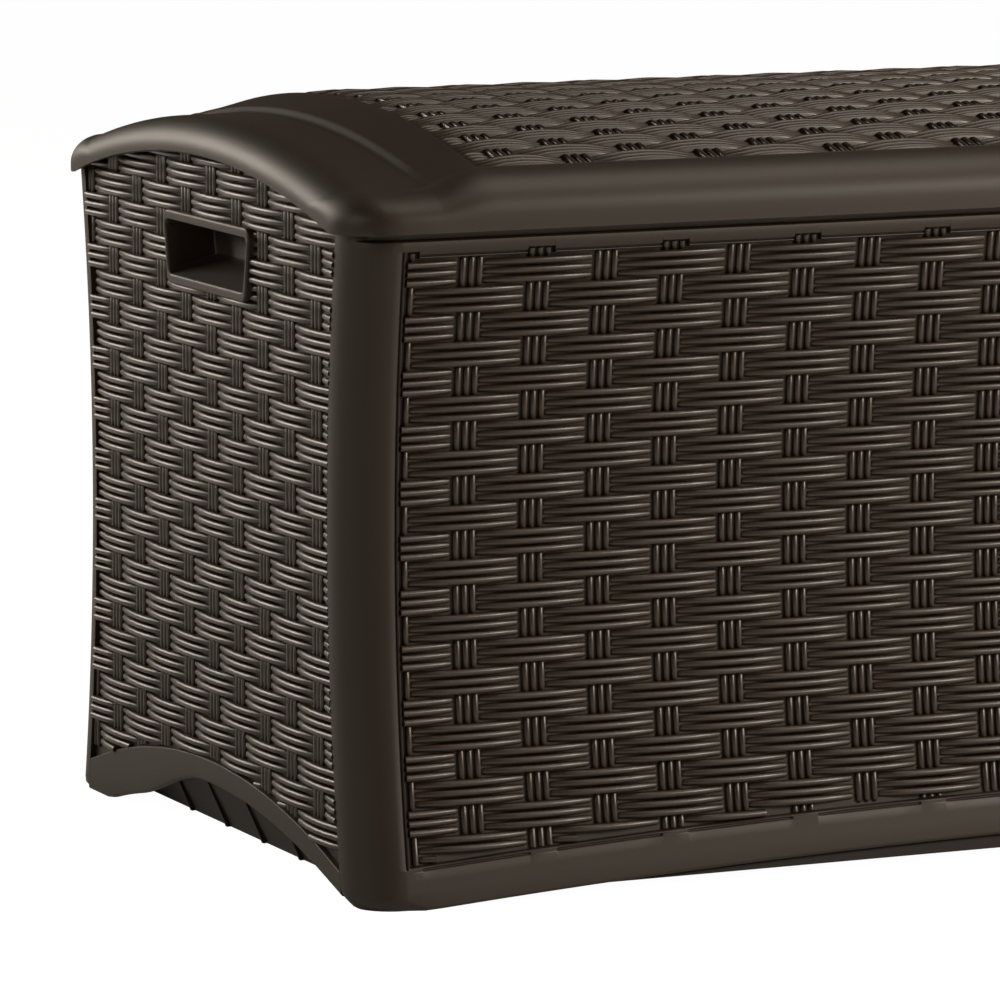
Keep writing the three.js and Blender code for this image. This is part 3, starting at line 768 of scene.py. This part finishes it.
def end_weave(name, facing):
    """The woven field of the left (-1) or right (+1) end panel, cut off at its edges and
    round the grip."""
    strands = end_strands[end_strands[:, 2] > end_lowest_strand]
    seam = half_depth(strands[:, 2]) - post_width - field_margin
    strands = clip_strips(strands, -seam, seam)
    room = strand_half_width + strand_room
    lines = strands[:, 2]
    reach = np.sqrt(np.clip(2 * rim_radius * (rim_crown - edge_gap - room - lines), 0, None))
    strands = clip_strips(strands, -reach, reach)
    drop = np.clip(end_foot_crown - strands[:, 2], 0, None)
    hidden = np.sqrt(np.clip(end_foot_radius ** 2 - (end_foot_radius - drop) ** 2, 0, None))
    strands = cut_strips(strands, -hidden, np.where(drop > 0, hidden, -1))
    beside = grip_rim_width / 2 - grip_overlap - grip_taper / 4
    level = np.abs(strands[:, 2] - grip_z) < grip_rim_height / 2
    strands = cut_strips(
        strands, np.where(level, grip_y - beside, 1), np.where(level, grip_y + beside, -1))

    ribs = end_ribs[np.abs(end_ribs[:, 2]) < end_rib_limit]
    rib_top = rim_height(ribs[:, 2]) - 2 * edge_gap
    ribs = clip_strips(ribs, end_field_foot(ribs[:, 2]) + edge_gap, rib_top)
    ribs = ribs[np.abs(ribs[:, 2]) < half_depth(ribs[:, :2].mean(1)) - post_width]
    beside = np.abs(ribs[:, 2] - grip_y) < grip_rim_width / 2 - grip_taper / 4
    within = grip_rim_height / 2 - grip_overlap
    ribs = cut_strips(
        ribs, np.where(beside, grip_z - within, 1), np.where(beside, grip_z + within, -1))

    def place(y, z, height):
        """A point at that height above the flat face."""
        return np.stack([facing * (wall_half_length + height), y, z], -1)

    return weave_piece(name, strands, ribs, wall_weave_heights, place, facing < 0)


for side, facing in (("left", -1), ("right", 1)):
    weave = end_weave(f"{side}_end_weave", facing)
    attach(weave, "box")
    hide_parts(f"{side}_end_panel")


# ---- Finger grips -------------------------------------------------------------------
# A moulded resin cup snapped into each end panel: a raised rim with a bowed top edge,
# round a finger pocket whose floor rises inwards.
grip_mouth_width = 0.156
grip_mouth_height = 0.039
grip_depth = 0.0375
grip_proud = 0.003
grip_wall = 0.003
grip_floor_rise = 0.0105
grip_bow = 0.0015
grip_seat = -0.0055
grip_rim_radius = 0.0075
grip_mouth_radius = 0.0045


def rounded_trapezium(width, height, radius):
    """A closed outline, narrower at the bottom, with rounded corners: twelve points a
    corner, counter-clockwise from the lower right."""
    turn = np.linspace(0, math.pi / 2, 12)
    corners = []
    for corner in range(4):
        side_y = 1 if corner in (0, 1) else -1
        side_z = -1 if corner in (0, 3) else 1
        half = width / 2 - (grip_taper / 2 if side_z < 0 else 0)
        centre = np.array([side_y * (half - radius), side_z * (height / 2 - radius)])
        angle = turn + (corner - 1) * math.pi / 2
        corners.append(centre + radius * np.stack([np.cos(angle), np.sin(angle)], -1))
    return np.concatenate(corners)


def finger_grip(name, facing):
    """The cup as rings: back, outside of the pocket, raised rim, mouth, pocket and its back."""
    rim = (grip_rim_width, grip_rim_height, grip_rim_radius)
    mouth = (grip_mouth_width, grip_mouth_height, grip_mouth_radius)
    rings = []

    def ring(shape, grow, out, floor=0.0):
        """One outline, grown by grow and out from the panel's face, its floor raised."""
        width, height, radius = shape
        outline = rounded_trapezium(width + 2 * grow, height + 2 * grow, radius + grow)
        raised = outline[:, 1] * (1 - floor / (height / 2 + grow))
        bow = grip_bow * (1 - (outline[:, 0] / (width / 2 + grow)) ** 2)
        z = np.where(outline[:, 1] < 0, raised, outline[:, 1] + bow)
        x = np.full(len(z), facing * (wall_half_length + out))
        rings.append(np.stack([x, outline[:, 0] + grip_y, z + grip_z], -1))

    back = grip_proud - grip_depth
    ring(mouth, grip_wall, back - grip_wall)
    ring(mouth, grip_wall, grip_seat)
    ring(rim, 0, grip_seat)
    ring(rim, 0, grip_proud - 0.0016)
    ring(rim, -0.0003, grip_proud - 0.0008)
    ring(rim, -0.0009, grip_proud - 0.0002)
    ring(rim, -0.0017, grip_proud)
    ring(mouth, 0.0016, grip_proud)
    ring(mouth, 0.0009, grip_proud - 0.0002)
    ring(mouth, 0.0003, grip_proud - 0.0008)
    ring(mouth, 0, grip_proud - 0.0018)
    for part in (0.3, 0.6, 0.9):
        ring(mouth, -0.001 * part, grip_proud + (back - grip_proud) * part, grip_floor_rise * part)
    ring(mouth, -0.0012, back + 0.0012, grip_floor_rise)
    ring(mouth, -0.0026, back, grip_floor_rise)
    return ring_stack(name, rings, turned=facing < 0)


for side, facing in (("left", -1), ("right", 1)):
    grip = finger_grip(f"{side}_finger_grip", facing)
    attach(grip, "box")
    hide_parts(f"{side}_handle_cup")


# ---- Lid ----------------------------------------------------------------------------
# A domed resin skin, hinged along the back: rounded rails front and back, stepped and
# rolled end caps, and a sunken woven field over most of the top.
lid_low, lid_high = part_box("lid_shell")
lid_half_length = lid_high.x
lid_half_depth = lid_high.y
lid_crown = lid_high.z
rail_gap = 0.0024
rail_foot = lid_low.z + rail_gap
lid_wall = 0.003
lid_corner = 0.042
lid_radius = 1.000
rail_roll = 0.038
rail_upright_share = 0.3
rail_lip = 0.0008
rail_softness = 0.045
lid_edge_crown = 0.5024
lid_edge_radius = 0.940
cap_drop = 0.0135
ridge_drop = 0.0083
lid_field_end = 0.470
lid_field_half_depth = 0.246
ridge_at = 0.505
cap_flat_from = 0.5145
rail_step = (0.477, 0.5255)
row_turn = 0.0065
cap_roll_width = 0.030
cap_roll_height = 0.0225
lid_weave_floor = 0.006
lid_arch_gap = 0.0002
least_rise = 0.0012
least_strip = 0.0001
dome_margin = 0.0003
ridge_lead = 0.0035


def smooth_ramp(value, start, end):
    """0 before start, 1 after end, and an S between."""
    share = np.clip((value - start) / (end - start), 0, 1)
    return share * share * (3 - 2 * share)


def lid_crown_height(x, along_roll, inset):
    """Height of the dome's crown line: down a gentle slope past the field, down a step to
    the end cap, and round the cap's quarter-ellipse roll.  The second height is the softer
    one that the rails follow."""
    out = np.abs(x)
    slope = np.clip((out - lid_field_end) / (ridge_at - lid_field_end), 0, 1) * ridge_drop
    step = smooth_ramp(out, ridge_at, cap_flat_from) * (cap_drop - ridge_drop)
    roll = cap_roll_height * (1 - np.cos(along_roll))
    soft_step = cap_drop * smooth_ramp(out, *rail_step)
    base = lid_crown - inset - roll
    return base - slope - step, base - soft_step


def lid_skin_grid(columns, along_roll, inset, depth):
    """Points of the lid's surface moved in by inset: columns along x, rows from the front
    rail's lower edge over the top to the back rail's.  depth sinks points below the dome."""
    x = np.sign(columns) * (np.abs(columns) - inset * np.sin(along_roll))
    past = np.clip(np.abs(x) - (lid_half_length - lid_corner), 0, lid_corner - inset)
    edge = lid_half_depth - lid_corner + np.sqrt((lid_corner - inset) ** 2 - past ** 2)
    crown, rail_crown = lid_crown_height(columns, along_roll, inset)
    dome_edge = edge - rail_roll
    shoulder = rail_crown - dome_edge ** 2 / (2 * lid_radius)
    roll_from = rail_foot + rail_upright_share * (shoulder - rail_foot)
    arch = lid_edge_crown - lid_edge_radius + np.sqrt(lid_edge_radius ** 2 - edge ** 2)
    low = np.maximum(rail_foot, arch + lid_arch_gap)
    turns = np.linspace(0, math.pi / 2, 11)
    rise = np.sin(turns)[:, None]
    side_y = [edge - rail_lip * (1 - inset / lid_wall), edge, edge]
    side_z = [low, low + rail_lip, (low + roll_from) / 2 + least_rise / 2]
    side_y += list(dome_edge + rail_roll * np.cos(turns)[:, None])
    side_z += list(np.maximum(roll_from, low + least_rise) + (shoulder - roll_from) * rise)
    side_y = np.stack(side_y)
    side_z = np.stack(side_z)
    across = lid_rows[:, None] * dome_edge / (lid_half_depth - rail_roll)
    blend = smooth_ramp(np.abs(columns), ridge_at, ridge_at + row_turn)
    across = lid_rows[:, None] * (1 - blend) + across * blend
    limit = dome_edge - dome_margin
    across = np.clip(across, -limit, limit)
    softness = smooth_ramp(np.abs(across), dome_edge - rail_softness, dome_edge)
    blended = crown + (rail_crown - crown) * softness
    top_z = blended - across ** 2 / (2 * lid_radius) - depth
    y = np.concatenate([-side_y, across, side_y[::-1]])
    z = np.concatenate([side_z, top_z, side_z[::-1]])
    return np.stack([np.broadcast_to(x, y.shape), y, z], -1)


lid_bead = np.array([lid_weave_floor, 0.0022, 0.0004, 0.0, 0.0, 0.0002, 0.0002, 0.0, 0.0, 0.0])
lid_bead_squash = 0.4
edge_rows = lid_field_half_depth + bead_across[:8] * lid_bead_squash
row_half = np.concatenate([np.linspace(0, lid_field_half_depth, 16)[:-1], edge_rows])
lid_rows = np.concatenate([-row_half[:0:-1], row_half])
field_columns = np.linspace(0, lid_field_end, 25)[:-1]
slope_columns = np.linspace(lid_field_end + bead_across[-1], ridge_at - ridge_lead - edge_gap, 4)[1:]
step_columns = np.linspace(ridge_at - ridge_lead, cap_flat_from, 12)
roll_turns = np.linspace(0, math.pi / 2, 14)
roll_columns = lid_half_length - cap_roll_width * (1 - np.sin(roll_turns))
corner_column = [lid_half_length - lid_corner]
half_columns = np.concatenate([
    field_columns, lid_field_end + bead_across, slope_columns, step_columns, corner_column,
    roll_columns])
half_roll = np.concatenate([np.zeros(len(half_columns) - len(roll_turns)), roll_turns])
lid_columns = np.concatenate([-half_columns[:0:-1], half_columns])
lid_roll = np.concatenate([half_roll[:0:-1], half_roll])


def lid_skin(name):
    """The lid's skin as a closed shell, with a last upright strip down to the end arch."""
    outside_y = (np.abs(lid_rows) - lid_field_half_depth)[:, None] / lid_bead_squash
    outside = np.maximum(np.abs(lid_columns)[None] - lid_field_end, outside_y)
    depth = np.interp(outside, bead_across, lid_bead)

    def with_ends(grid):
        """The grid with a copy of each end column, lowered to the end's arch."""
        first = grid[:, :1].copy()
        last = grid[:, -1:].copy()
        for strip in (first, last):
            y = strip[..., 1]
            arch = lid_edge_crown - lid_edge_radius + np.sqrt(lid_edge_radius ** 2 - y ** 2)
            strip[..., 2] = np.minimum(arch, strip[..., 2] - least_strip)
        return np.concatenate([first, grid, last], 1)

    outer = lid_skin_grid(lid_columns, lid_roll, 0, depth)
    inner = lid_skin_grid(lid_columns, lid_roll, lid_wall, depth)
    return shell_piece(name, with_ends(outer), with_ends(inner), smooth_resin_shade_darkened, flip=True)


lid_top = lid_skin("lid_skin")
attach(lid_top, "lid")
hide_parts("lid_shell")

# The lid's weave is the same wicker, laid on the dome with its rows along the box and its
# ribs wider apart and prouder.
lid_rib_pitch = 0.0071
lid_i, lid_j = lattice(np.arange(-3, 24), np.arange(0, 26), 0)
lid_rib_x = -0.4897
lid_row_y = -0.2340
lid_strands, lid_ribs = weave_strips(lid_rib_x, long_pitch, lid_row_y, lid_i, lid_j, lid_rib_pitch)
lid_limit_x = lid_field_end - 1.5 * edge_gap
lid_limit_y = lid_field_half_depth - edge_gap
lid_strands = clip_strips(lid_strands, -lid_limit_x, lid_limit_x)
lid_strands = lid_strands[np.abs(lid_strands[:, 2]) < lid_limit_y - strand_half_width]
lid_strands[:, 3] = np.maximum(lid_strands[:, 3], -lid_limit_x)
lid_strands[:, 4] = np.minimum(lid_strands[:, 4], lid_limit_x)
lid_ribs = clip_strips(lid_ribs, -lid_limit_y, lid_limit_y)
lid_ribs = lid_ribs[np.abs(lid_ribs[:, 2]) < lid_limit_x - rib_half_width]


def on_the_dome(x, y, height):
    """A point at that height above the dome."""
    return np.stack([x, y, lid_crown - y ** 2 / (2 * lid_radius) + height], -1)


lid_weave_heights = (-0.0065, -0.0008, -0.0036, 0.0012)
lid_weave = weave_piece("lid_weave", lid_strands, lid_ribs, lid_weave_heights, on_the_dome, False)
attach(lid_weave, "lid")
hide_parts("lid_shell")


# ---- Floor tray, liner and hinges ---------------------------------------------------
# The tray under the box and the lid's ribbed liner are plain dark resin mouldings.  The
# three rear hinges are zinc-plated steel, screwed to the wall and riveted to the lid.
tray_resin = moulded_resin(
    "tray_resin", (0.0040, 0.0024, 0.0008), (0.0060, 0.0037, 0.0015), roughness=0.60, shine=0.20)


def zinc_plate():
    """Zinc-plated steel: a fine spangle moves its grey and its roughness a little."""
    finish = bpy.data.materials.new("zinc_plate")
    finish.use_nodes = True
    tree = finish.node_tree
    shader = tree.nodes["Principled BSDF"]
    start = Wire(tree)
    place = start.node("ShaderNodeTexCoord", output=3)
    spangle = start.node("ShaderNodeTexNoise", Vector=place, Scale=160.0, Detail=3.0)
    tone = spangle.blend((0.40, 0.41, 0.42, 1), (0.56, 0.57, 0.58, 1))
    tree.links.new(tone.socket, shader.inputs["Base Color"])
    sheen = spangle * 0.18 + 0.28
    tree.links.new(sheen.socket, shader.inputs["Roughness"])
    shader.inputs["Metallic"].default_value = 1.0
    return finish


zinc = zinc_plate()

# The tray, the liner and the ironwork keep their frame shapes and only change finish.
for node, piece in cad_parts.items():
    if node in ("floor_tray", "lid_liner"):
        finish = tray_resin
    elif "hinge" in node or "screw" in node or "rivet" in node:
        finish = zinc
    else:
        continue
    for place in piece.material_slots:
        place.material = finish


# ---- Floor --------------------------------------------------------------------------
# A wide pale studio floor, matt and nearly white.  The camera sees it mostly as an even
# glow, and lamps and the box see its plain surface.
floor_glow_share = 0.88
floor_glow_strength = 1.12
floor_finish = bpy.data.materials.new("studio_floor")
floor_finish.use_nodes = True
floor_shader = floor_finish.node_tree.nodes["Principled BSDF"]
floor_shader.inputs["Base Color"].default_value = (0.82, 0.82, 0.82, 1)
floor_shader.inputs["Roughness"].default_value = 0.9
floor_start = Wire(floor_finish.node_tree)
floor_seen = floor_start.node("ShaderNodeLightPath")
floor_glow = floor_start.node("ShaderNodeEmission", Strength=floor_glow_strength)
floor_surface = Wire(floor_finish.node_tree, floor_shader.outputs[0])
floor_mix = floor_start.node(
    "ShaderNodeMixShader", n0=floor_seen * floor_glow_share, n1=floor_surface, n2=floor_glow)
floor_finish.node_tree.links.new(
    floor_mix.socket, floor_finish.node_tree.nodes["Material Output"].inputs["Surface"])
floor = mesh_piece(
    "studio_floor_sheet",
    np.array([[-9, -9, 0], [9, -9, 0], [9, 30, 0], [-9, 30, 0]], float),
    np.array([[0, 1, 2, 3]]), floor_finish)
